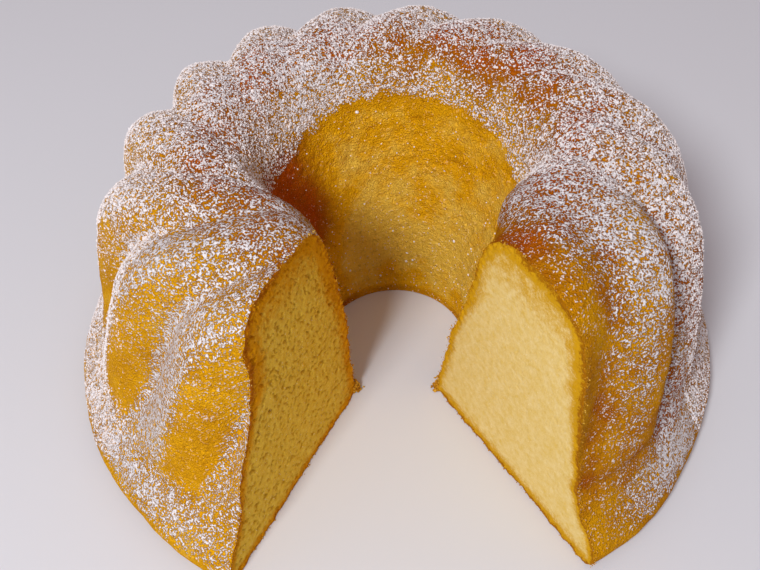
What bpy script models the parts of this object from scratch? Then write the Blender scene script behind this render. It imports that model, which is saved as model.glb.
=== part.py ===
"""A swirled, fluted ring cake with one slice cut out, modelled as a single closed solid.

The cake stands on its flat bottom on the plane z = 0, with the middle of its bounding box over the
origin and the open side, where the slice was, facing -Y. Lengths are in metres, angles in degrees.
Angles round the ring are measured from +X towards +Y, seen from above.
"""

import math

import bmesh
import bpy
import numpy as np

# Overall size of the ring, as it came out of its tin and was turned over.
FOOT_RADIUS = 0.125
CREST_HEIGHT = 0.1115

# The line of the flutes' ridges, as one cross-section from the hole over the top to the base.
HOLE_RADIUS = 0.0285
HOLE_WAIST_RADIUS, HOLE_WAIST_HEIGHT = 0.0343, 0.0400
HOLE_FLARE_RADIUS, HOLE_FLARE_HEIGHT = 0.0411, 0.0685
RIM_RADIUS, RIM_HEIGHT = 0.0493, 0.0975
CREST_START_RADIUS, CREST_START_HEIGHT = 0.0582, 0.1083
CREST_RADIUS = 0.0682
CREST_END_RADIUS, CREST_END_HEIGHT = 0.0848, 0.1072
SHOULDER_RADIUS, SHOULDER_HEIGHT = 0.0966, 0.0945
WALL_TOP_RADIUS, WALL_TOP_HEIGHT = 0.1037, 0.0749
WALL_FOOT_RADIUS, WALL_FOOT_HEIGHT = 0.1103, 0.0458
FOOT_TOP_RADIUS, FOOT_TOP_HEIGHT = 0.1143, 0.0241
FOOT_SHOULDER_RADIUS, FOOT_SHOULDER_HEIGHT = 0.1222, 0.0115
FOOT_EDGE_HEIGHT = 0.0052
BASE_RADIUS = 0.1218

# The flutes pressed in by the tin. Stations are fractions of the way along the cross-section.
FLUTES = 16
FLUTE_DEPTH = 0.0070
FLUTE_FADE_IN = (0.36, 0.68)
FLUTE_FADE_OUT = (0.77, 0.92)
FLUTE_WIDTH_POWER = 0.81
FLUTE_SKEW = 0.25
FIRST_VALLEY_ANGLE = 244.5
SWIRL_ANGLE = 40.4
SWIRL_SPAN = (0.15, 0.65)
WALL_SWIRL_START = 0.47
WALL_SWIRL_RATE = 32.8

# How the baked ring sits off a perfect turned shape: it leans to the front and bulges unevenly.
TOP_LEAN = 0.0082
HOLE_SHIFT = 0.0046
BULGES = ((1, 0.013, -0.007), (2, 0.026, -0.016), (3, 0.003, -0.010))
FOOT_WAVES = ((5, 0.0007, 40.0), (9, 0.0005, 110.0), (14, 0.0004, 15.0))
FOOT_WAVE_STATION = 0.90
HOLE_SHARE_END, HOLE_SHARE_LENGTH = 0.45, 0.20

# The rim of the hole stands further in beside the missing slice. Each swell is given by its angle,
# its width in degrees, its depth, and the station and length over which it comes in.
RIM_SWELLS = ((218.0, 25.0, 0.0112, 0.02, 0.30), (-25.0, 21.0, 0.0120, 0.24, 0.16))
RIM_SWELL_END, RIM_SWELL_FADE = 0.58, 0.16

# The missing slice, by its two cut faces.
LEFT_CUT_ANGLE = -116.0
RIGHT_CUT_ANGLE = -57.2
CUT_OFFSET = -0.0014
CUTTER_REACH = 0.30

# How finely the solid is faceted.
SECTION_POINTS = 30
RING_STEPS = FLUTES * 12
KNOT_STEPS = 12

CRUST_COLOUR = (0.60, 0.29, 0.045, 1.0)
CRUST_ROUGHNESS = 0.75


def clear_scene():
    """Remove whatever objects the open file holds."""
    for found in list(bpy.data.objects):
        bpy.data.objects.remove(found, do_unlink=True)


def new_collection(name):
    """Add a collection to the scene."""
    collection = bpy.data.collections.new(name)
    bpy.context.scene.collection.children.link(collection)
    return collection


def ease(value):
    """Go smoothly from 0 to 1 as the value does."""
    clipped = np.clip(value, 0.0, 1.0)
    return clipped * clipped * (3.0 - 2.0 * clipped)


def section_knots():
    """Return the knots of the ridge line, from the hole's foot over the crest to the base."""
    return np.array([
        (HOLE_RADIUS, 0.0),
        (HOLE_WAIST_RADIUS, HOLE_WAIST_HEIGHT),
        (HOLE_FLARE_RADIUS, HOLE_FLARE_HEIGHT),
        (RIM_RADIUS, RIM_HEIGHT),
        (CREST_START_RADIUS, CREST_START_HEIGHT),
        (CREST_RADIUS, CREST_HEIGHT),
        (CREST_END_RADIUS, CREST_END_HEIGHT),
        (SHOULDER_RADIUS, SHOULDER_HEIGHT),
        (WALL_TOP_RADIUS, WALL_TOP_HEIGHT),
        (WALL_FOOT_RADIUS, WALL_FOOT_HEIGHT),
        (FOOT_TOP_RADIUS, FOOT_TOP_HEIGHT),
        (FOOT_SHOULDER_RADIUS, FOOT_SHOULDER_HEIGHT),
        (FOOT_RADIUS, FOOT_EDGE_HEIGHT),
        (BASE_RADIUS, 0.0),
    ])


def smooth_line(knots):
    """Run a Catmull-Rom curve through the knots."""
    before = 2 * knots[0] - knots[1]
    after = 2 * knots[-1] - knots[-2]
    reach = np.vstack([before, knots, after])
    points = []
    for first in range(len(knots) - 1):
        a, b, c, d = reach[first:first + 4]
        for step in range(KNOT_STEPS):
            t = step / KNOT_STEPS
            bend = (2 * a - 5 * b + 4 * c - d) * t ** 2 + (3 * b - a - 3 * c + d) * t ** 3
            points.append(0.5 * (2 * b + (c - a) * t + bend))
    points.append(knots[-1])
    return np.array(points)


def even_points(line, count):
    """Pick points evenly by length along a line."""
    steps = np.linalg.norm(np.diff(line, axis=0), axis=1)
    travelled = np.concatenate([[0.0], np.cumsum(steps)])
    wanted = np.linspace(0.0, travelled[-1], count)
    return np.column_stack([np.interp(wanted, travelled, line[:, axis]) for axis in (0, 1)])


def outward(points):
    """Return the direction out of the cake at each point of the section."""
    along = np.gradient(points, axis=0)
    along /= np.linalg.norm(along, axis=1)[:, None]
    return np.column_stack([-along[:, 1], along[:, 0]])


def flute_depth(station, angle):
    """Say how deep the flutes lie below the ridge line, at a station and an angle in degrees."""
    fade_in = ease((station - FLUTE_FADE_IN[0]) / (FLUTE_FADE_IN[1] - FLUTE_FADE_IN[0]))
    fade_out = ease((FLUTE_FADE_OUT[1] - station) / (FLUTE_FADE_OUT[1] - FLUTE_FADE_OUT[0]))
    swirl = SWIRL_ANGLE * ease((station - SWIRL_SPAN[0]) / (SWIRL_SPAN[1] - SWIRL_SPAN[0]))
    swirl = swirl + WALL_SWIRL_RATE * np.maximum(station - WALL_SWIRL_START, 0.0)
    turn = np.radians((angle - FIRST_VALLEY_ANGLE + swirl) * FLUTES)
    turn = turn + FLUTE_SKEW * np.sin(turn)
    valley = np.clip(0.5 + 0.5 * np.cos(turn), 0.0, 1.0) ** FLUTE_WIDTH_POWER
    return FLUTE_DEPTH * fade_in * fade_out * valley


def baked_unevenly(radius, height, station, angle):
    """Place a point of the ring, with the cake's lean, bulges and wavy foot."""
    turn = math.radians(angle)
    rise = height / CREST_HEIGHT
    bulge = sum(c * math.cos(k * turn) + s * math.sin(k * turn) for k, c, s in BULGES)
    radius = radius * (1.0 + bulge * min(max(rise, 0.0), 1.0))
    wave = sum(size * math.sin(k * turn + math.radians(start)) for k, size, start in FOOT_WAVES)
    radius = radius + wave * float(ease((station - FOOT_WAVE_STATION) / (1.0 - FOOT_WAVE_STATION)))
    for middle, width, depth, start, length in RIM_SWELLS:
        away = math.remainder(angle - middle, 360.0) / width
        swell = depth * math.exp(-away * away) * float(ease((station - start) / length))
        radius -= swell * float(ease((RIM_SWELL_END - station) / RIM_SWELL_FADE))
    hole_share = float(ease((HOLE_SHARE_END - station) / HOLE_SHARE_LENGTH))
    hole_shift = HOLE_SHIFT + (TOP_LEAN - HOLE_SHIFT) * rise
    shift = TOP_LEAN * rise * (1.0 - hole_share) + hole_shift * hole_share
    return radius * math.cos(turn), radius * math.sin(turn) - shift, height


def ring_blank(section):
    """Turn the cross-section into a full smooth ring with a Screw modifier, and return its mesh."""
    mesh = bpy.data.meshes.new("ring_blank")
    blank = bpy.data.objects.new("ring_blank", mesh)
    bpy.context.scene.collection.objects.link(blank)
    outline = [(radius, 0.0, height) for radius, height in section]
    edges = [(i, (i + 1) % len(outline)) for i in range(len(outline))]
    mesh.from_pydata(outline, edges, [])
    screw = blank.modifiers.new("turn", "SCREW")
    screw.angle = math.tau
    screw.steps = screw.render_steps = RING_STEPS
    screw.use_merge_vertices = True
    screw.merge_threshold = 0.0001
    turned = bpy.data.meshes.new_from_object(
        blank.evaluated_get(bpy.context.evaluated_depsgraph_get()))
    bpy.data.objects.remove(blank, do_unlink=True)
    return turned


def flute_ring(mesh, section):
    """Press the swirling flutes into the ring, then let it sag as baked."""
    directions = outward(section)
    stations = np.linspace(0.0, 1.0, len(section))
    for vertex in mesh.vertices:
        x, y, height = vertex.co
        radius = math.hypot(x, y)
        angle = math.degrees(math.atan2(y, x))
        nearest = int(np.argmin(np.hypot(section[:, 0] - radius, section[:, 1] - height)))
        station = stations[nearest]
        depth = float(flute_depth(station, angle))
        radius -= depth * directions[nearest, 0]
        height -= depth * directions[nearest, 1]
        vertex.co = baked_unevenly(radius, height, station, angle)


def cut_line_corner():
    """Return the point over which the two cut faces meet, near the middle of the hole."""
    rows = []
    for angle in (LEFT_CUT_ANGLE, RIGHT_CUT_ANGLE):
        rows.append((-math.sin(math.radians(angle)), math.cos(math.radians(angle))))
    return np.linalg.solve(np.array(rows), np.array([CUT_OFFSET, CUT_OFFSET]))


def make_slice_cutter(collection):
    """Make the wedge that takes the slice out, as a flat triangle pulled straight up."""
    corner = cut_line_corner()
    mesh = bpy.data.meshes.new("slice_cutter")
    work = bmesh.new()
    floor_points = [corner]
    for angle in (LEFT_CUT_ANGLE, RIGHT_CUT_ANGLE):
        turn = math.radians(angle)
        floor_points.append(corner + CUTTER_REACH * np.array((math.cos(turn), math.sin(turn))))
    below = -0.5 * CREST_HEIGHT
    verts = [work.verts.new((point[0], point[1], below)) for point in floor_points]
    triangle = work.faces.new(verts)
    pulled = bmesh.ops.extrude_face_region(work, geom=[triangle])
    raised = [item for item in pulled["geom"] if isinstance(item, bmesh.types.BMVert)]
    bmesh.ops.translate(work, verts=raised, vec=(0.0, 0.0, 2.0 * CREST_HEIGHT))
    bmesh.ops.recalc_face_normals(work, faces=work.faces)
    work.to_mesh(mesh)
    work.free()
    cutter = bpy.data.objects.new("slice_cutter", mesh)
    cutter.hide_render = True
    cutter.display_type = "WIRE"
    collection.objects.link(cutter)
    return cutter


def crust_material():
    """Return the golden baked crust."""
    material = bpy.data.materials.new("crust")
    material.use_nodes = True
    shader = material.node_tree.nodes["Principled BSDF"]
    shader.inputs["Base Color"].default_value = CRUST_COLOUR
    shader.inputs["Roughness"].default_value = CRUST_ROUGHNESS
    shader.inputs["Metallic"].default_value = 0.0
    material.diffuse_color = CRUST_COLOUR
    return material


def make_cake(collection, cutter):
    """Make the fluted ring and cut the slice out of it."""
    section = even_points(smooth_line(section_knots()), SECTION_POINTS)
    mesh = ring_blank(section)
    flute_ring(mesh, section)
    mesh.name = "cake"
    cake = bpy.data.objects.new("cake", mesh)
    collection.objects.link(cake)
    mesh.materials.clear()
    mesh.materials.append(crust_material())
    mesh.shade_smooth()
    mesh.set_sharp_from_angle(angle=math.radians(50.0))
    cut = cake.modifiers.new("slice", "BOOLEAN")
    cut.operation = "DIFFERENCE"
    cut.object = cutter
    return cake


def stand_on_origin(cake, cutter, collection):
    """Carry the cake and its cutter on an empty, and move that so the box's foot is at the origin."""
    carrier = bpy.data.objects.new("cake_middle", None)
    collection.objects.link(carrier)
    cake.parent = carrier
    cutter.parent = carrier
    finished = cake.evaluated_get(bpy.context.evaluated_depsgraph_get())
    corners = np.array([vertex.co for vertex in finished.data.vertices])
    low, high = corners.min(axis=0), corners.max(axis=0)
    middle = (low + high) / 2
    carrier.location = (-middle[0], -middle[1], -low[2])


def build():
    """Build the whole cake."""
    clear_scene()
    parts = new_collection("fluted_ring_cake")
    cutters = new_collection("cutters")
    cutter = make_slice_cutter(cutters)
    cake = make_cake(parts, cutter)
    stand_on_origin(cake, cutter, parts)


build()
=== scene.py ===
"""A fluted ring cake with one slice cut out, browned by the oven and sifted with powdered sugar.

The script follows the cake as it was made: the skin that the tin shaped, the wall of the hole, the
crumb that the knife laid open, the sugar sifted over it and the crumbs that the knife tore loose.
Lengths are in metres. Angles are degrees round the ring, from +X towards +Y, seen from above. A
share says how far along the ring's cross-section a place lies: 0 at the hole's foot, 1 at the base.
"""

import math

import bmesh
import bpy
import numpy as np
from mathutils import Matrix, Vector, noise


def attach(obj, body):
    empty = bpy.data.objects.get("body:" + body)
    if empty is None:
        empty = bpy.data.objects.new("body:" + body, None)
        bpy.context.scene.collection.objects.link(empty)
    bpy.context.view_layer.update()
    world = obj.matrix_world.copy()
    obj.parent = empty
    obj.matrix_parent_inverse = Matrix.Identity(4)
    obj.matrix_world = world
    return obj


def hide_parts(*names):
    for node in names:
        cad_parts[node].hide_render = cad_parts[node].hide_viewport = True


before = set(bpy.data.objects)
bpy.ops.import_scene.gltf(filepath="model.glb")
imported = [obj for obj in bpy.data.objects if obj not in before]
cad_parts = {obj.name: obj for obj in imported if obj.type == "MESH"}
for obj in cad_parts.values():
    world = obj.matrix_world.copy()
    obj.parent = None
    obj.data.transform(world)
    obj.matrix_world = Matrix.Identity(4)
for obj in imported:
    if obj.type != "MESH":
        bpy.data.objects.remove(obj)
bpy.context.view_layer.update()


# The browned outside.
# A real fluted ring cake has one thin skin of crust all over, pressed to shape by the tin: ridges and
# valleys that swirl over the top and down the wall to a flared foot, and a flat underside.
ring_middle = (-0.0008, -0.0062)
crest_height = 0.1115
foot_radius = 0.1250
section_knots = np.array((
    (0.0285, 0.0), (0.0343, 0.0400), (0.0411, 0.0685), (0.0493, 0.0975), (0.0582, 0.1083),
    (0.0682, crest_height), (0.0848, 0.1072), (0.0966, 0.0945), (0.1037, 0.0749), (0.1103, 0.0458),
    (0.1143, 0.0241), (0.1222, 0.0115), (foot_radius, 0.0052), (0.1218, 0.0)))
knot_steps = 24
section_rows = 800
smoothed_rows = 14

flute_count = 16
flute_pitch = 360.0 / flute_count
flute_depth = 0.0070
flute_roundness = 0.81
flute_skew = 0.25
first_valley = 244.5
top_swirl = 40.4
wall_swirl = 32.8
crease_depth = 0.0030
crease_width = 2.6
fullest_flute = -11
fullest_skew = 0.12
fullest_shoulder = 0.0012

# How the baked ring departs from a perfect turned shape. A bulge is given by its count round the
# ring and its two strengths, and a foot's wave by its count, its height and its start. A rim swell is
# given by its angle, its width, its depth, and the share where it starts and over which it grows.
top_lean = 0.0082
hole_lean = 0.0046
bulges = ((1, 0.013, -0.007), (2, 0.026, -0.016), (3, 0.003, -0.010))
foot_waves = ((5, 0.0007, 40.0), (9, 0.0005, 110.0), (14, 0.0004, 15.0))
foot_groove = 0.0014
rim_swells = ((218.0, 25.0, 0.0112, 0.02, 0.30), (-25.0, 21.0, 0.0120, 0.24, 0.16))

# The skin is turned a little too far, and then trimmed where it lies beside a cut: within a slope of
# beside_cut from it, which is about 19 degrees.
cut_offset = -0.0014
cut_angles = {"left": -116.0, "right": -57.2}
torn_reach = 0.002
spare_turn = 12.0
beside_cut = 0.34
ring_steps = 400
rim_share = 0.335
wall_rows = 190
base_rows = 41


def ease(value):
    """Go smoothly from 0 to 1 as the value does."""
    clipped = np.clip(value, 0.0, 1.0)
    return clipped * clipped * (3.0 - 2.0 * clipped)


def hump(value, middle, width):
    """Rise to 1 at the middle, and fall away smoothly to both sides of it."""
    return np.exp(-((value - middle) / width) ** 2)


def smooth_section(knots):
    """Run a smooth line through the knots, and give its points and its directions out of the cake."""
    reach = np.vstack([2 * knots[0] - knots[1], knots, 2 * knots[-1] - knots[-2]])
    line = []
    for first in range(len(knots) - 1):
        a, b, c, d = reach[first:first + 4]
        for t in np.arange(knot_steps) / knot_steps:
            bend = (2 * a - 5 * b + 4 * c - d) * t ** 2 + (3 * b - a - 3 * c + d) * t ** 3
            line.append(0.5 * (2 * b + (c - a) * t + bend))
    line = np.array(line + [knots[-1]])
    travelled = np.concatenate([[0.0], np.cumsum(np.linalg.norm(np.diff(line, axis=0), axis=1))])
    shares = np.linspace(0.0, 1.0, section_rows)
    even = np.column_stack([np.interp(shares * travelled[-1], travelled, line[:, k]) for k in (0, 1)])
    along = np.gradient(even, axis=0)
    padded = np.pad(along, ((smoothed_rows, smoothed_rows), (0, 0)), mode="edge")
    window = np.ones(2 * smoothed_rows + 1)
    along = np.column_stack([np.convolve(padded[:, k], window, "valid") for k in (0, 1)])
    along /= np.linalg.norm(along, axis=1)[:, None]
    return shares, even, np.column_stack([-along[:, 1], along[:, 0]])


section_shares, section_points, section_out = smooth_section(section_knots)


def flute_number(share, angle):
    """Count the flutes round the ring from the first valley: whole numbers are the valleys."""
    swirl = top_swirl * ease((share - 0.15) / 0.50) + wall_swirl * np.maximum(share - 0.47, 0.0)
    return (angle - first_valley + swirl) / flute_pitch


def past_valley(share, angle):
    """Give how many degrees past the last valley a place is, from 0 up to a whole flute."""
    return np.mod(flute_number(share, angle), 1.0) * flute_pitch


def flute_hollow(share, angle):
    """Give how deep the flutes lie below the ridge line.

    The fullest flute, beside the right cut, leans over a tight, deep valley and has a low shoulder,
    and the valley on its other side is shallow.
    """
    flute = flute_number(share, angle)
    past = past_valley(share, angle)
    full = np.floor(flute) == fullest_flute
    turn = np.radians(past * flute_count)
    turn = turn + flute_skew * np.sin(turn) - fullest_skew * full * (1.0 - np.cos(turn))
    tight_valley = hump(flute, fullest_flute + 1.0, 0.40)
    open_valley = hump(flute, fullest_flute, 0.40)
    hollow = flute_depth * np.clip(0.5 + 0.5 * np.cos(turn), 0.0, 1.0) ** flute_roundness
    hollow = hollow * (1.0 - 0.25 * open_valley)
    crease = crease_depth * hump(np.minimum(past, flute_pitch - past), 0.0, crease_width)
    crease = crease * (1.0 + 1.1 * tight_valley - 0.8 * open_valley)
    shoulder = fullest_shoulder * full * hump(past, 15.0, 3.2) * hump(share, 0.68, 0.14)
    fade = ease((share - 0.36) / 0.32) * ease((0.92 - share) / 0.15)
    return fade * (hollow + crease) - shoulder


def on_skin(share, angle):
    """Place points of the skin, with the flutes, the lean and the bulges of the baked ring."""
    radius = np.interp(share, section_shares, section_points[:, 0])
    height = np.interp(share, section_shares, section_points[:, 1])
    hollow = flute_hollow(share, angle)
    radius = radius - hollow * np.interp(share, section_shares, section_out[:, 0])
    height = height - hollow * np.interp(share, section_shares, section_out[:, 1])
    turn = np.radians(angle)
    rise = height / crest_height
    bulge = sum(c * np.cos(k * turn) + s * np.sin(k * turn) for k, c, s in bulges)
    radius = radius * (1.0 + bulge * np.clip(rise, 0.0, 1.0))
    for middle, width, depth, start, length in rim_swells:
        away = np.mod(angle - middle + 180.0, 360.0) - 180.0
        swell = depth * hump(away, 0.0, width) * ease((share - start) / length)
        radius = radius - swell * ease((0.58 - share) / 0.16)
    wave = sum(size * np.sin(k * turn + math.radians(start)) for k, size, start in foot_waves)
    radius = radius + wave * ease((share - 0.90) / 0.10)
    radius = radius - foot_groove * hump(share, 0.865, 0.016) * ease(-angle / 20.0)
    in_hole = ease((0.45 - share) / 0.20)
    hole_shift = hole_lean + (top_lean - hole_lean) * rise
    shift = top_lean * rise * (1.0 - in_hole) + hole_shift * in_hole
    return np.column_stack([radius * np.cos(turn) + ring_middle[0],
                            radius * np.sin(turn) + ring_middle[1] - shift, height])


def out_of_skin(share, angle):
    """Give the direction straight out of the skin."""
    ahead = on_skin(np.minimum(share + 0.001, 1.0), angle)
    behind = on_skin(np.maximum(share - 0.001, 0.0), angle)
    across = on_skin(share, angle + 0.1) - on_skin(share, angle - 0.1)
    out = np.cross(ahead - behind, across)
    return out / np.linalg.norm(out, axis=1)[:, None]


def lumps(points, size, start):
    """Give smooth random lumps of one size at each point, between about -1 and 1."""
    shift = Vector((start, 2.3 * start, 3.7 * start))
    return np.array([noise.noise(Vector(point) / size + shift) for point in points])


def skin_relief(points, share):
    """Give how far the baked skin stands out: low lumps outside, coarser and pitted in the hole."""
    inside = ease((0.35 - share) / 0.03)
    under_rim = ease((share - 0.22) / 0.05) * inside
    coarse = lumps(points, 0.009, 3.0)
    middling = lumps(points, 0.0038, 11.0)
    fine = lumps(points, 0.0021, 23.0)
    relief = 0.00035 * coarse + (0.00016 + 0.00022 * inside) * middling
    relief = relief + (0.00014 + 0.00024 * inside) * fine
    torn = np.maximum(lumps(points, 0.0050, 37.0) * 1.6 - 0.35, 0.0)
    relief = relief - 0.0011 * torn * (0.20 * inside + 0.80 * under_rim)
    return relief * ease(points[:, 2] / 0.004)


def tear(points):
    """Give how far the knife left the cut standing proud of its plane, or short of it."""
    rough = 0.0005 * lumps(points, 0.0017, 5.0) + 0.0006 * lumps(points, 0.0050, 7.0)
    return rough + 0.0009 * lumps(points, 0.0190, 13.0)


def turn_skin(shares):
    """Spin a stretch of the section round the ring, a little past both cut faces, and shape it.

    Shares above 1 run back from the foot's edge under the cake, to the hole at 2.
    """
    skin = bmesh.new()
    share_layer = skin.verts.layers.float.new("share")
    first_angle = cut_angles["right"] - spare_turn
    turned = 360.0 + cut_angles["left"] + spare_turn - first_angle
    start = math.radians(first_angle)
    chain = []
    for share in shares:
        inward = max(share - 1.0, 0.0)
        radius = np.interp(share, section_shares, section_points[:, 0])
        radius = radius + (section_points[0, 0] - section_points[-1, 0]) * inward
        height = np.interp(share, section_shares, section_points[:, 1])
        vertex = skin.verts.new((radius * math.cos(start), radius * math.sin(start), height))
        vertex[share_layer] = share
        chain.append(vertex)
    edges = [skin.edges.new(pair) for pair in zip(chain, chain[1:])]
    bmesh.ops.spin(skin, geom=chain + edges, cent=(0, 0, 0), axis=(0, 0, 1), dvec=(0, 0, 0),
                   angle=math.radians(turned), steps=ring_steps, use_duplicate=False)
    share = np.array([vertex[share_layer] for vertex in skin.verts])
    angle = np.array([math.degrees(math.atan2(v.co.y, v.co.x)) for v in skin.verts])
    angle = np.where(angle < first_angle - 1.0, angle + 360.0, angle)
    inward = np.clip(share - 1.0, 0.0, 1.0)[:, None]
    outer_share = np.clip(share, 0.0, 1.0)
    places = on_skin(outer_share, angle) * (1 - inward) + on_skin(share * 0.0, angle) * inward
    places = places + out_of_skin(outer_share, angle) * skin_relief(places, outer_share)[:, None]
    for vertex, place in zip(skin.verts, places):
        vertex.co = place
    return skin, share_layer


def cut_plane(side):
    """Give a point of a cut face, the way out from the hole along it, and the way it looks."""
    turn = math.radians(cut_angles[side])
    along = Vector((math.cos(turn), math.sin(turn), 0.0))
    across = Vector((-math.sin(turn), math.cos(turn), 0.0))
    point = Vector((*ring_middle, 0.0)) + across * cut_offset
    return point, along, across if side == "left" else -across


def cut_slice_out(skin, share_layer):
    """Trim the skin at both cut faces, and return the edge left at each, from the hole outwards."""
    edges = {}
    for side in cut_angles:
        point, along, open_way = cut_plane(side)
        near = []
        for face in skin.faces:
            reach = face.calc_center_median() - point
            if reach.dot(along) > 0.0 and abs(reach.dot(open_way)) < beside_cut * reach.dot(along):
                near.append(face)
        parts = dict.fromkeys(near)
        for face in near:
            parts.update(dict.fromkeys([*face.verts, *face.edges]))
        cut = bmesh.ops.bisect_plane(skin, geom=list(parts), dist=1e-6, plane_co=point,
                                     plane_no=open_way, clear_outer=True)
        kept = [v for v in cut["geom_cut"] if isinstance(v, bmesh.types.BMVert)]
        edges[side] = sorted((v[share_layer], tuple(v.co)) for v in kept)
        around = dict.fromkeys([v for face in near if face.is_valid for v in face.verts] + kept)
        close = [v for v in around if (v.co - point).dot(along) > 0.0
                 and abs((v.co - point).dot(open_way)) < torn_reach]
        for vertex, proud in zip(close, tear([v.co for v in close])):
            fade = 1.0 - abs((vertex.co - point).dot(open_way)) / torn_reach
            vertex.co = vertex.co + open_way * float(proud * fade)
    return edges


def place_piece(name, mesh, material):
    """Put a finished mesh on the cake, in its material."""
    mesh.materials.append(material)
    piece = bpy.data.objects.new(name, mesh)
    bpy.context.scene.collection.objects.link(piece)
    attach(piece, "root")
    return piece


def finish_piece(name, shape, material):
    """Turn a worked shape into a smooth piece of the cake."""
    mesh = bpy.data.meshes.new(name)
    shape.normal_update()
    shape.to_mesh(mesh)
    shape.free()
    mesh.shade_smooth()
    return place_piece(name, mesh, material)


def mark(piece, name, values):
    """Store one number at each vertex of a piece, for its material to read."""
    layer = piece.data.attributes.new(name, "FLOAT", "POINT")
    layer.data.foreach_set("value", np.ascontiguousarray(values, dtype=np.float32))


# Where the sugar drifted thicker or thinner, and patches of painted shade on the crust. The entry at
# -16 degrees thins the sugar on the far right flutes as painted shade, showing more dark crust there.
# Each is given by the share and the angle of its middle, its reach in each, and its amount.
sugar_drifts_and_shade = (
    (0.365, 130.0, 0.028, 38.0, 0.36), (0.415, 127.0, 0.050, 9.0, 0.22),
    (0.460, 192.0, 0.045, 30.0, -0.20), (0.470, 42.0, 0.035, 28.0, -0.18),
    (0.500, -31.0, 0.055, 9.0, 0.18), (0.510, 203.0, 0.030, 12.0, -0.16),
    # The first entry below, at -16 degrees, thins the sugar as painted shade.
    (0.750, -16.0, 0.150, 10.0, -0.22), (0.780, 221.0, 0.090, 7.0, 0.14),
    (0.925, -42.0, 0.042, 18.0, 0.66), (0.925, 214.0, 0.030, 15.0, 0.20))
painted_shade_patches = ((0.52, 40.0, 0.06, 34.0, 0.30), (0.75, -6.0, 0.16, 28.0, 0.36))


def patches_at(share, angle, patches):
    """Add up soft patches at each place."""
    return sum(amount * hump(share, along, length) * hump(angle, middle, width)
               for along, middle, length, width, amount in patches)


def sugar_cover(share, angle, points):
    """Give what part of the crust the sifted sugar hides, between 0 and 1.

    Sugar lies thick on the top and the foot, on the upper flank of each leaning flute, thinner at the
    back of the rim and near the cuts, and hardly at all on the steep lower flanks and the foot's lip.
    It is thinner on the far right flutes as painted shade.
    """
    upward = out_of_skin(share, angle)[:, 2]
    past = np.mod(past_valley(share, angle) + 3.0, flute_pitch) - 3.0
    flank = ease((past + 3.0) / 2.5) * ease((13.0 + 4.0 * ease((0.68 - share) / 0.1) - past) / 4.0)
    down = np.clip(share - 0.60, -0.1, 0.3)
    bare = np.clip(0.30 - 1.60 * down, 0.01, 0.5)
    thick = 0.82 - 0.5 * down
    on_wall = bare + (thick - bare) * flank
    on_top = np.interp(upward, (0.10, 0.30, 0.45, 0.60, 0.90), (0.24, 0.46, 0.56, 0.64, 0.72))
    wall = ease((share - 0.50) / 0.10) * ease((0.905 - share) / 0.045)
    cover = on_top * (1.0 - wall) + on_wall * wall
    at_back = ease((angle + 2.0) / 25.0) * ease((115.0 - angle) / 30.0)
    cover = cover - 0.42 * hump(share, 0.425, 0.036) * at_back
    cover = cover + patches_at(share, angle, sugar_drifts_and_shade)
    right_cut = ease((angle - cut_angles["right"]) / 27.0)
    left_cut = ease((360.0 + cut_angles["left"] - angle) / 22.0)
    cover = cover * (0.06 + 0.94 * right_cut) * (0.62 + 0.38 * left_cut)
    cover = cover * (1.0 + 0.16 * lumps(points, 0.011, 51.0) + 0.16 * lumps(points, 0.0045, 67.0))
    ragged = 0.010 * lumps(points, 0.0035, 71.0) + 0.006 * lumps(points, 0.010, 73.0)
    hole_edge = 0.357 - 0.037 * np.clip(((angle - 80.0) / 60.0) ** 2, 0.0, 1.4)
    hole_edge = hole_edge + 0.11 * ease((-20.0 - angle) / 35.0)
    cover = cover * ease((share + ragged - hole_edge) / 0.012)
    cover = cover * ease((0.972 - share + ragged) / 0.014)
    specks = (0.008 + 0.014 * ease((0.25 - share) / 0.10)) * ease((0.40 - share) / 0.03)
    return np.clip(np.maximum(cover, specks), 0.0, 0.97)


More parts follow.
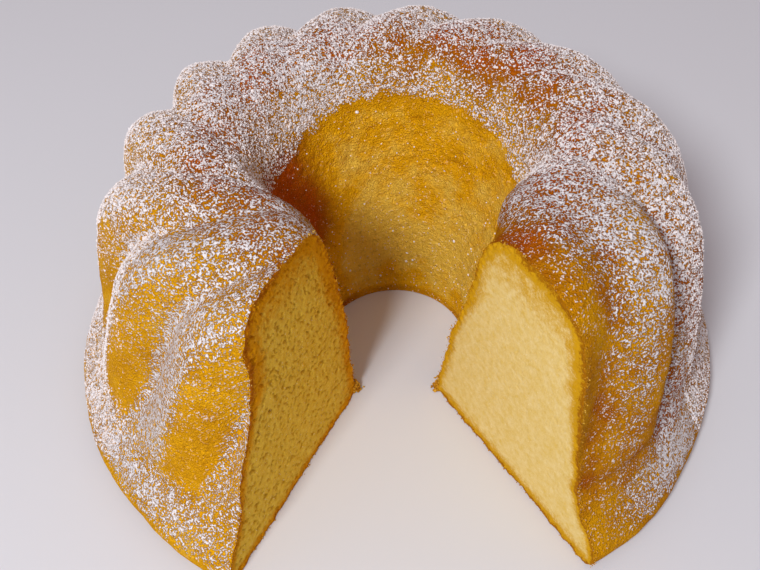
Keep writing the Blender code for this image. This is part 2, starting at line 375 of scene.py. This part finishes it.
def oven_brown_and_shade(share, angle, points):
    """Give how brown the crust is, from 0, sandy and pale, to 1, deep brown, painted shade included.

    The top by the rim is the brownest from the oven. The right side, its valleys, the groove above its
    foot, the back right of the top and the far right flutes are darker as painted shade. The left of
    the hole's wall is browner and redder, partly browner crust and partly painted shade. The hole's
    wall is palest a little above its foot, partly sandy crust and partly painted light, and darker at
    its very foot.
    """
    # The right side, away from the light, is darker as painted shade, and more so in the groove above its
    # foot.
    right = ease((20.0 - angle) / 30.0)
    brown_and_shade = 0.26 + 0.20 * right + (0.56 - 0.20 * right) * hump(share, 0.450, 0.075)
    brown_and_shade = brown_and_shade + 0.15 * right * hump(share, 0.865, 0.03)
    # The patches are painted shade, at the back right of the top and on the far right flutes.
    brown_and_shade = brown_and_shade + patches_at(share, angle, painted_shade_patches)
    hole = ease((0.37 - share) / 0.05)
    # In the hole the crust is palest a little above the foot, partly sandy crust and partly painted light,
    # and darker at the very foot.
    hole_brown_and_bounce_light = 0.15 - 0.22 * hump(share, 0.12, 0.08) + 0.45 * ease((0.020 - share) / 0.014)
    # The hole's left wall is browner and redder, partly browner crust and partly painted shade.
    left_wall_brown_and_shade = ease((angle - 121.0) / 32.0) * (0.35 + 0.65 * ease((share - 0.05) / 0.15))
    brown_and_shade = brown_and_shade * (1.0 - hole) + (hole_brown_and_bounce_light + 0.85 * left_wall_brown_and_shade) * hole
    # The valleys on the right side are darkened as painted shade, less in the one nearest the cut.
    past = np.mod(past_valley(share, angle) + 6.0, flute_pitch) - 6.0
    valley_shade = hump(past, 0.0, 3.2) * ease((share - 0.50) / 0.10) * ease((0.92 - share) / 0.10)
    brown_and_shade = brown_and_shade + (0.52 - 0.30 * ease((-34.0 - angle) / 12.0)) * valley_shade * right
    brown_and_shade = brown_and_shade + 0.25 * ease((share - 0.97) / 0.02)
    return brown_and_shade + 0.12 * lumps(points, 0.020, 83.0) + 0.08 * lumps(points, 0.007, 89.0)


def feed(tree, socket, value):
    """Link another node's output to a socket, or set the socket to a plain value."""
    if isinstance(value, bpy.types.NodeSocket):
        tree.links.new(value, socket)
    else:
        socket.default_value = value


def add_node(tree, kind, **settings):
    """Add a node to a material, with its inputs by name or its own settings."""
    node = tree.nodes.new(kind)
    for key, value in settings.items():
        if key in node.inputs:
            feed(tree, node.inputs[key], value)
        else:
            setattr(node, key, value)
    return node


def stored(tree, name):
    """Read a number that the piece stores at its vertices."""
    return add_node(tree, "ShaderNodeAttribute", attribute_name=name).outputs["Fac"]


def mottling(tree, place, scale, detail, roughness):
    """Give soft random patches, the scale being about how many there are to a metre."""
    return add_node(tree, "ShaderNodeTexNoise", Vector=place, Scale=scale, Detail=detail,
                    Roughness=roughness).outputs["Fac"]


def spread(tree, value, low, high, kind="SMOOTHSTEP", to_low=0.0, to_high=1.0):
    """Stretch a value's range to 0 to 1, or to two other ends."""
    node = add_node(tree, "ShaderNodeMapRange", interpolation_type=kind, Value=value)
    for name, number in (("From Min", low), ("From Max", high), ("To Min", to_low), ("To Max", to_high)):
        node.inputs[name].default_value = number
    return node.outputs["Result"]


def work_out(tree, kind, first, second):
    """Work out one number from two, each plain or another node's output."""
    node = add_node(tree, "ShaderNodeMath", operation=kind)
    feed(tree, node.inputs[0], first)
    feed(tree, node.inputs[1], second)
    return node.outputs[0]


def sum_of(tree, first, second):
    """Add two numbers."""
    return work_out(tree, "ADD", first, second)


def product_of(tree, first, second):
    """Multiply two numbers."""
    return work_out(tree, "MULTIPLY", first, second)


def blend_colours(tree, amount, first, second):
    """Mix two colours by an amount, each a colour or another node's output."""
    node = add_node(tree, "ShaderNodeMix", data_type="RGBA")
    for slot, value in ((0, amount), (6, first), (7, second)):
        feed(tree, node.inputs[slot], value)
    return node.outputs[2]


def colour_steps(tree, value, steps):
    """Run a number through a row of colours, each given with its place between 0 and 1."""
    node = add_node(tree, "ShaderNodeValToRGB", Fac=value)
    stops = node.color_ramp.elements
    while len(stops) < len(steps):
        stops.new(0.5)
    for stop, (position, colour) in zip(stops, steps):
        stop.position = position
        stop.color = (*colour, 1.0)
    return node.outputs["Color"]


def start_finish(name, roughness, shine):
    """Start a material, and return it with its nodes, its shader and the places on the cake."""
    material = bpy.data.materials.new(name)
    material.use_nodes = True
    tree = material.node_tree
    shader = tree.nodes["Principled BSDF"]
    shader.inputs["Roughness"].default_value = roughness
    shader.inputs["Specular IOR Level"].default_value = shine
    return material, tree, shader, add_node(tree, "ShaderNodeTexCoord").outputs["Object"]


def end_finish(tree, shader, colour, height, strength, distance):
    """Give a shader its colour, and roughen it by a height."""
    tree.links.new(colour, shader.inputs["Base Color"])
    bump = add_node(tree, "ShaderNodeBump", Height=height, Strength=strength, Distance=distance)
    tree.links.new(bump.outputs["Normal"], shader.inputs["Normal"])


def sugared_crust(name):
    """Return baked crust with powdered sugar where the piece's dusting says.

    The sugar lies in specks and small drifts, and the crust between close specks is darkened
    as painted shade.
    """
    material, tree, shader, place = start_finish(name, 0.75, 0.04)
    blotches = mottling(tree, place, 90.0, 4.0, 0.6)
    sand = mottling(tree, place, 650.0, 3.0, 0.65)
    browning_and_shade = sum_of(tree, stored(tree, "baked_and_shade"), spread(tree, blotches, 0.30, 0.70, "LINEAR", -0.15, 0.15))
    # The colour follows the browning, painted shade included; the reddest, last stop mostly colours the
    # hole's left wall.
    crust = colour_steps(tree, browning_and_shade, (
        (0.0, (0.89, 0.53, 0.060)), (0.18, (0.84, 0.40, 0.0040)), (0.50, (0.64, 0.27, 0.0020)),
        (0.75, (0.44, 0.125, 0.0015)), (1.0, (0.46, 0.076, 0.0010))))
    # The low spots of the sand are darkened as painted shade in the pits.
    painted_pit_shade = spread(tree, sand, 0.50, 0.28)
    crust = blend_colours(tree, product_of(tree, painted_pit_shade, 0.40), crust, (0.34, 0.105, 0.001, 1.0))

    dusting = stored(tree, "dusting")
    fine = mottling(tree, place, 1350.0, 2.0, 0.6)
    drifts = mottling(tree, place, 430.0, 2.0, 0.6)
    cells = add_node(tree, "ShaderNodeTexVoronoi", Vector=place, Scale=2100.0)
    speck = add_node(tree, "ShaderNodeSeparateColor", Color=cells.outputs["Color"]).outputs["Red"]
    pattern = sum_of(tree, spread(tree, fine, 0.34, 0.66, "LINEAR", 0.0, 0.52),
                     spread(tree, drifts, 0.34, 0.66, "LINEAR", 0.0, 0.24))
    pattern = spread(tree, sum_of(tree, pattern, product_of(tree, speck, 0.24)), 0.16, 0.84)
    heaped = sum_of(tree, pattern, dusting)
    lying = spread(tree, heaped, 0.96, 1.04)
    # The crust between close grains is darkened as painted shade, the shade the grains cast.
    painted_shade_between_grains = product_of(tree, spread(tree, heaped, 0.62, 0.98), spread(tree, dusting, 0.02, 0.30))
    crust = blend_colours(tree, product_of(tree, painted_shade_between_grains, 0.80), crust, (0.115, 0.030, 0.005, 1.0))
    sugar = blend_colours(tree, spread(tree, heaped, 1.0, 1.22), (0.70, 0.58, 0.51, 1.0),
                          (0.85, 0.79, 0.78, 1.0))
    height = sum_of(tree, product_of(tree, heaped, 2.2), sand)
    end_finish(tree, shader, blend_colours(tree, lying, crust, sugar), height, 0.9, 0.00035)
    return material


def ring_angle(points):
    """Give the angle of points round the ring's own middle, running on past 180 on the left."""
    rise = points[:, 2] / crest_height
    angle = np.degrees(np.arctan2(points[:, 1] - ring_middle[1] + top_lean * rise,
                                  points[:, 0] - ring_middle[0]))
    return np.where(angle < -80.0, angle + 360.0, angle)


def dress_skin(name, skin, share_layer):
    """Turn a stretch of skin into a piece that stores how much sugar it carries and how brown it
    is, painted shade included.
    """
    reached = np.array([vertex[share_layer] for vertex in skin.verts])
    piece = finish_piece(name, skin, crust)
    places = np.array([vertex.co for vertex in piece.data.vertices])
    angle = ring_angle(places)
    share = np.clip(reached, 0.0, 1.0)
    cover = np.where(reached > 1.0, 0.0, sugar_cover(share, angle, places))
    mark(piece, "dusting", 0.72 * cover - 0.02)
    mark(piece, "baked_and_shade", oven_brown_and_shade(share, angle, places))
    return piece


crust = sugared_crust("sugared_crust")
outside_shares = [*np.linspace(rim_share, 1.0, wall_rows), *np.linspace(1.0, 2.0, base_rows)[1:]]
outside, share_layer = turn_skin(outside_shares)
outside_edges = cut_slice_out(outside, share_layer)
fluted_skin = dress_skin("fluted_skin", outside, share_layer)
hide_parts("cake")


# The wall of the hole.
# The tin's middle tube shaped it. Less heat reached it, so the skin there is thin, golden and sandy,
# torn in a craggy band just under the rim, and next to no sugar fell on it.
hole_rows = 196
hole_wall, share_layer = turn_skin(np.linspace(0.0, rim_share, hole_rows))
hole_edges = cut_slice_out(hole_wall, share_layer)
hole_skin = dress_skin("hole_skin", hole_wall, share_layer)


# The two cut faces.
# The knife laid open the sponge: a pale yellow crumb full of small slanting pores, golden towards
# the crust and brown at its very edge. Each face closes the skin at its cut. The pores are darkened
# as painted shade, and the left face, in shade, has a shaded copy of the crumb: yellower and deeper.
face_rows = 330
face_cuts = 179
pore_starts = {"left": (3.0, 5.0), "right": (9.0, 13.0)}
middle_swell = {"left": 0.30, "right": 0.08}


def even_line(points, count):
    """Pick points evenly along a line in space."""
    points = np.array(points)
    travelled = np.concatenate([[0.0], np.cumsum(np.linalg.norm(np.diff(points, axis=0), axis=1))])
    wanted = np.linspace(0.0, travelled[-1], count)
    return np.column_stack([np.interp(wanted, travelled, points[:, k]) for k in range(3)])


def edge_distance(points, line):
    """Give the distance from each point to the nearest point of a line, a stretch at a time."""
    nearest = []
    for some in np.array_split(points, 60):
        gap = np.linalg.norm(some[:, None, :] - line[None, :, :], axis=2)
        nearest.append(gap.min(axis=1))
    return np.concatenate(nearest)


def pores(flat, size, solid, start):
    """Give the depth of uneven pores, drawn long by the rise of the batter, slanting out and up."""
    depth = []
    for outward, up in flat:
        long_way, short_way = 0.707 * (outward + up), 0.707 * (outward - up)
        spot = Vector((long_way / (1.5 * size) + start, short_way / size, start))
        depth.append(noise.noise(spot) + 0.45 * noise.noise(spot * 2.3))
    return ease((np.array(depth) - solid) / 0.32)


def open_crumb(name, centre, painted_pore_shade, golden, edge, grit):
    """Return the sponge's crumb, paler in the middle and browned towards the crust, with painted
    shade in its pores and light specks as painted glints.
    """
    material, tree, shader, place = start_finish(name, 0.85, 0.06)
    mottle = mottling(tree, place, 330.0, 5.0, 0.72)
    fine = mottling(tree, place, 1300.0, 3.0, 0.7)
    crumb = blend_colours(tree, spread(tree, mottle, 0.34, 0.66, "LINEAR"), (*centre, 1.0),
                          (centre[0] * 0.90, centre[1] * 0.81, centre[2] * 0.46, 1.0))
    # The pores are darkened as painted shade.
    crumb = blend_colours(tree, product_of(tree, stored(tree, "painted_pit_shade"), 0.6), crumb, (*painted_pore_shade, 1.0))
    # Light golden specks are painted glints.
    crumb = blend_colours(tree, spread(tree, fine, 0.60, 0.74), crumb, (0.86, 0.70, 0.40, 1.0))
    uneven = sum_of(tree, stored(tree, "browned"), spread(tree, mottle, 0.3, 0.7, "LINEAR", -0.13, 0.13))
    uneven = sum_of(tree, uneven, spread(tree, fine, 0.3, 0.7, "LINEAR", -0.14, 0.14))
    crumb = blend_colours(tree, spread(tree, uneven, 0.10, 0.60), crumb, (*golden, 1.0))
    crumb = blend_colours(tree, spread(tree, uneven, 0.72, 0.95), crumb, (*edge, 1.0))
    end_finish(tree, shader, crumb, sum_of(tree, fine, product_of(tree, mottle, 1.6)), 0.8, grit)
    return material


def close_cut(side, open_way):
    """Fill one cut with rows of faces, from the hole's edge line across to the outside's."""
    whole = hole_edges[side][:-1] + [row for row in outside_edges[side] if row[0] <= 1.0]
    whole = [place for _, place in whole]
    top = int(np.argmax([place[2] for place in whole]))
    inner_line = even_line(whole[:top + 1], face_rows)
    outer_line = even_line(whole[top:][::-1], face_rows)
    face = bmesh.new()
    chains = []
    for line in (inner_line, outer_line):
        verts = [face.verts.new(place) for place in line]
        chains += [face.edges.new(pair) for pair in zip(verts, verts[1:])]
    before = set(face.edges)
    bmesh.ops.bridge_loops(face, edges=chains)
    rungs = [edge for edge in face.edges if edge not in before]
    bmesh.ops.subdivide_edges(face, edges=rungs, cuts=face_cuts, use_grid_fill=True)
    bmesh.ops.remove_doubles(face, verts=face.verts[:], dist=2e-6)
    bmesh.ops.recalc_face_normals(face, faces=face.faces[:])
    if sum(f.normal.dot(open_way) for f in face.faces) < 0.0:
        bmesh.ops.reverse_faces(face, faces=face.faces[:])
    return face, inner_line, outer_line


def cut_face(side, pore_size, pore_depth, bands, material):
    """Make one cut face, with its pores pressed in and its torn edge.

    The bands are how far in from the outside, the hole and the underside the crumb is browned, and
    how golden it is at the top.
    """
    outside_band, hole_band, base_band, top_gold = bands
    point, along, open_way = cut_plane(side)
    face, inner_line, outer_line = close_cut(side, open_way)
    places = np.array([vertex.co for vertex in face.verts])
    to_outside = edge_distance(places, outer_line)
    to_hole = edge_distance(places, inner_line)
    to_base = edge_distance(places, even_line([inner_line[0], outer_line[0]], 200))
    from_edge = np.minimum(np.minimum(to_outside, to_hole), to_base)

    flat = [((Vector(p) - point).dot(along), p[2]) for p in places]
    holes = pores(flat, 1.7 * pore_size, 0.34, pore_starts[side][0])
    small = pores(flat, pore_size, 0.20, pore_starts[side][1])
    depth = 0.9 * holes + 0.6 * small + 0.15 * (1.0 + lumps(places, 0.0012, 41.0))
    depth = depth * pore_depth * ease(from_edge / 0.0025)
    swell = middle_swell[side] + (1.0 - middle_swell[side]) * ease(1.0 - from_edge / 0.005)
    for vertex, place, sunk, out in zip(face.verts, places, depth, tear(places) * swell):
        vertex.co = Vector(place) + open_way * float(out - sunk)
    piece = finish_piece("crumb_" + side, face, material)

    high = ease((places[:, 2] - 0.045) / 0.045)
    outside_band = outside_band * (0.55 + 0.75 * high) * (1.0 + 0.35 * lumps(places, 0.006, 17.0))
    hole_band = hole_band * (0.75 + 0.55 * high) * (1.0 + 0.35 * lumps(places, 0.006, 19.0))
    browned = (np.exp(-(to_outside / outside_band) ** 1.5), 0.85 * np.exp(-(to_hole / hole_band) ** 1.3),
               np.exp(-(to_base / base_band) ** 1.2), top_gold * ease((places[:, 2] - 0.075) / 0.030))
    mark(piece, "browned", np.max(browned, axis=0))
    # Where the pores lie, for the painted shade in them.
    mark(piece, "painted_pit_shade", np.clip(0.8 * holes + 0.5 * small, 0.0, 1.0))
    return piece


# The left face lies in shade, so its crumb is a shaded copy of the same sponge: painted shade.
shaded_sponge = open_crumb("shaded_crumb", centre=(0.79, 0.52, 0.060), painted_pore_shade=(0.50, 0.25, 0.006),
                           golden=(0.64, 0.265, 0.001), edge=(0.40, 0.115, 0.0005), grit=0.0003)
crumb_left = cut_face("left", pore_size=0.0014, pore_depth=0.0010,
                      bands=(0.0066, 0.0068, 0.0030, 0.46), material=shaded_sponge)
# The right face faces the light and has the lit copy of the crumb.
lit_sponge = open_crumb("lit_crumb", centre=(0.79, 0.60, 0.255), painted_pore_shade=(0.70, 0.47, 0.10),
                        golden=(0.58, 0.30, 0.006), edge=(0.34, 0.125, 0.001), grit=0.00028)
crumb_right = cut_face("right", pore_size=0.0009, pore_depth=0.00012,
                       bands=(0.0058, 0.0042, 0.0048, 0.42), material=lit_sponge)


# The powdered sugar.
# Sifted over the cooled cake, it clung as damp grains and small lumps of several sizes, close on the
# faces that look up and thinner on the steep ones. Each size is one joined mesh.
def powder(name, tint):
    """Return powdered sugar, a shade darker where a grain is damp."""
    material, tree, shader, place = start_finish(name, 0.6, 0.25)
    damp = mottling(tree, place, 520.0, 3.0, 0.6)
    grit = mottling(tree, place, 4200.0, 2.0, 0.5)
    damp_tint = (tint[0] * 0.93, tint[1] * 0.87, tint[2] * 0.82, 1.0)
    colour = blend_colours(tree, spread(tree, damp, 0.62, 0.36), (*tint, 1.0), damp_tint)
    end_finish(tree, shader, colour, grit, 0.6, 0.00008)
    return material


def grain_shape(round_lump):
    """Make one grain, one metre across, and return its corners and its triangles."""
    shape = bmesh.new()
    if round_lump:
        bmesh.ops.create_icosphere(shape, subdivisions=1, radius=0.5)
    else:
        bmesh.ops.create_uvsphere(shape, u_segments=4, v_segments=2, radius=0.5)
    bmesh.ops.recalc_face_normals(shape, faces=shape.faces[:])
    corners = np.array([vertex.co for vertex in shape.verts])
    triangles = np.array([[vertex.index for vertex in face.verts] for face in shape.faces])
    shape.free()
    return corners, triangles


def lay_grains(name, places, out, sizes, sink, round_lump, material, chance):
    """Lay one grain at each place, turned and dented at random, and join them in one piece."""
    corners, triangles = grain_shape(round_lump)
    count = len(places)
    turn = chance.normal(size=(count, 3, 3))
    turn = np.linalg.qr(turn)[0]
    turn[:, :, 0] *= np.sign(np.linalg.det(turn))[:, None]
    stretch = chance.uniform(0.68, 1.30, (count, 1, 3))
    dented = corners[None] * stretch * chance.uniform(0.80, 1.18, (count, len(corners), 1))
    grains = np.einsum("nij,nkj->nki", turn, dented) * sizes[:, None, None]
    grains = grains + (places + out * (sizes * (0.5 - sink))[:, None])[:, None, :]
    grains[:, :, 2] = np.maximum(grains[:, :, 2], 0.0)
    faces = triangles[None] + np.arange(count)[:, None, None] * len(corners)
    mesh = bpy.data.meshes.new(name)
    mesh.from_pydata(grains.reshape(-1, 3), [], faces.reshape(-1, 3))
    return place_piece(name, mesh, material)


def behind_cuts(points):
    """Say which points are on the cake that is left, and not in the place of the missing slice."""
    kept = np.ones(len(points), dtype=bool)
    for side in cut_angles:
        point, along, open_way = (np.array(way) for way in cut_plane(side))
        reach = points - point
        kept &= ~((reach @ along > 0.0) & (reach @ open_way > -0.0001))
    return kept


def sift(name, count, small, large, sink, round_lump, material, seed):
    """Choose places over the crust as thickly as the sugar lies there, and lay grains on them."""
    chance = np.random.default_rng(seed)
    batch = 60000
    wanted_shares, wanted_angles = [], []
    found = 0
    while found < count:
        share = chance.uniform(0.0, 0.985, batch)
        angle = chance.uniform(cut_angles["right"] + 0.4, 359.6 + cut_angles["left"], batch)
        points = on_skin(share, angle)
        room = np.interp(share, section_shares, section_points[:, 0]) / foot_radius
        clumped = 0.55 + 0.9 * lumps(points, 0.0016, 97.0)
        likely = sugar_cover(share, angle, points) * room * np.clip(clumped, 0.05, 1.0)
        keep = (chance.uniform(0.0, 1.0, batch) < likely) & behind_cuts(points)
        wanted_shares.append(share[keep])
        wanted_angles.append(angle[keep])
        found += int(keep.sum())
    share = np.concatenate(wanted_shares)[:count]
    angle = np.concatenate(wanted_angles)[:count]
    places = on_skin(share, angle)
    out = out_of_skin(share, angle)
    places = places + out * skin_relief(places, share)[:, None]
    sizes = small + (large - small) * chance.beta(1.4, 2.4, count)
    return lay_grains(name, places, out, sizes, sink, round_lump, material, chance)


# Each size is given by its count, its smallest and its largest grain, how much of a grain sinks in,
# whether it is a round lump, and the seed of its random places.
white_powder = powder("powdered_sugar", (0.85, 0.80, 0.79))
sugar_specks = sift("sugar_specks", 24500, 0.00030, 0.00050, 0.35, False, white_powder, 1)
sugar_grains = sift("sugar_grains", 24500, 0.00045, 0.00070, 0.38, False, white_powder, 2)
sugar_clumps = sift("sugar_clumps", 24500, 0.00055, 0.00095, 0.45, False, white_powder, 3)
sugar_lumps = sift("sugar_lumps", 4000, 0.00070, 0.00125, 0.50, True, white_powder, 4)


# The loose crumbs.
# The knife tore them from the crust and the sponge. They cling along the edges of both cuts and lie
# against their feet, golden to brown, most of them under a millimetre.
def baked_crumb(name):
    """Return browned sponge, golden to brown from crumb to crumb."""
    material, tree, shader, place = start_finish(name, 0.8, 0.15)
    patch = mottling(tree, place, 420.0, 3.0, 0.7)
    colour = colour_steps(tree, patch, ((0.30, (0.26, 0.080, 0.004)), (0.48, (0.50, 0.215, 0.006)),
                                        (0.62, (0.66, 0.38, 0.040)), (0.74, (0.76, 0.56, 0.20))))
    end_finish(tree, shader, colour, patch, 0.7, 0.0003)
    return material


spots_per_line = 400
corner_crumbs = 150
chance = np.random.default_rng(11)
crumb_places, crumb_out, crumb_sizes = [], [], []
for side in cut_angles:
    point, _, open_way = (np.array(way) for way in cut_plane(side))
    hole_rim = np.array([place for _, place in hole_edges[side]])
    outer_rim = np.array([place for share, place in outside_edges[side] if share <= 1.0])
    foot = even_line([hole_rim[0], outer_rim[-1]], spots_per_line)
    for line, count, small, large in ((hole_rim, 260, 0.0003, 0.0007), (outer_rim, 420, 0.0003, 0.0006),
                                      (foot, 320, 0.0003, 0.0008)):
        spots = even_line(line, spots_per_line)[chance.integers(0, spots_per_line, count)]
        spots = spots + chance.normal(0.0, 0.0005, (count, 3))
        level = chance.normal(-0.0003, 0.0003, count) - (spots - point) @ open_way
        crumb_places.append(spots + open_way * (level + tear(spots))[:, None])
        crumb_out.append(np.tile(open_way, (count, 1)))
        crumb_sizes.append(small + (large - small) * chance.beta(1.2, 3.0, count))
    corner_spread = chance.normal(0.0, 1.0, (corner_crumbs, 3)) * (0.0009, 0.0009, 0.0022)
    crumb_places.append(hole_rim[0] + corner_spread - 0.0006 * open_way)
    crumb_out.append(np.tile(open_way, (corner_crumbs, 1)))
    crumb_sizes.append(chance.uniform(0.0006, 0.0014, corner_crumbs))
crumb_places = np.concatenate(crumb_places)
crumb_sizes = np.concatenate(crumb_sizes)
crumb_places[:, 2] = np.maximum(crumb_places[:, 2], 0.4 * crumb_sizes)
loose_crumbs = lay_grains("loose_crumbs", crumb_places, np.concatenate(crumb_out), crumb_sizes, 0.35, True,
                          baked_crumb("baked_crumb"), chance)


# The floor, the light and the camera.
# A plain pale floor, one round soft light from the left and front, a faint light all round, and a
# camera that looks down into the open slice.
floor_shape = bmesh.new()
bmesh.ops.create_grid(floor_shape, x_segments=1, y_segments=1, size=40.0)
floor_mesh = bpy.data.meshes.new("pale_floor")
floor_shape.to_mesh(floor_mesh)
floor_shape.free()
pale_floor = bpy.data.objects.new("pale_floor", floor_mesh)
pale_floor.location = (0.0, 0.0, -0.0002)
bpy.context.scene.collection.objects.link(pale_floor)
pale = bpy.data.materials.new("pale_floor")
pale.use_nodes = True
pale.node_tree.nodes["Principled BSDF"].inputs["Base Color"].default_value = (0.67, 0.66, 0.67, 1.0)
pale.node_tree.nodes["Principled BSDF"].inputs["Roughness"].default_value = 0.55
floor_mesh.materials.append(pale)

key = bpy.data.lights.new("soft_key", "AREA")
key.shape = "DISK"
key.size = 0.30
key.energy = 14.6
key.color = (0.91, 0.95, 1.0)
key_light = bpy.data.objects.new("soft_key", key)
key_light.location = (-0.3885, -0.8331, 0.9692)
key_light.rotation_euler = (Vector((0, 0, 0.05)) - key_light.location).to_track_quat("-Z", "Y").to_euler()
bpy.context.scene.collection.objects.link(key_light)

world = bpy.data.worlds.new("studio")
world.use_nodes = True
world.node_tree.nodes["Background"].inputs["Color"].default_value = (0.90, 0.80, 0.86, 1.0)
world.node_tree.nodes["Background"].inputs["Strength"].default_value = 0.46
bpy.context.scene.world = world
bpy.context.scene.view_settings.view_transform = "Standard"

lens = bpy.data.cameras.new("camera")
lens.sensor_width = 36.0
lens.lens = 48.965
camera = bpy.data.objects.new("camera", lens)
camera.location = (-0.0008, -0.27854, 0.32855)
camera.rotation_euler = [math.radians(turn) for turn in (42.3226, 0.8166, 0.3003)]
bpy.context.scene.collection.objects.link(camera)
bpy.context.scene.camera = camera
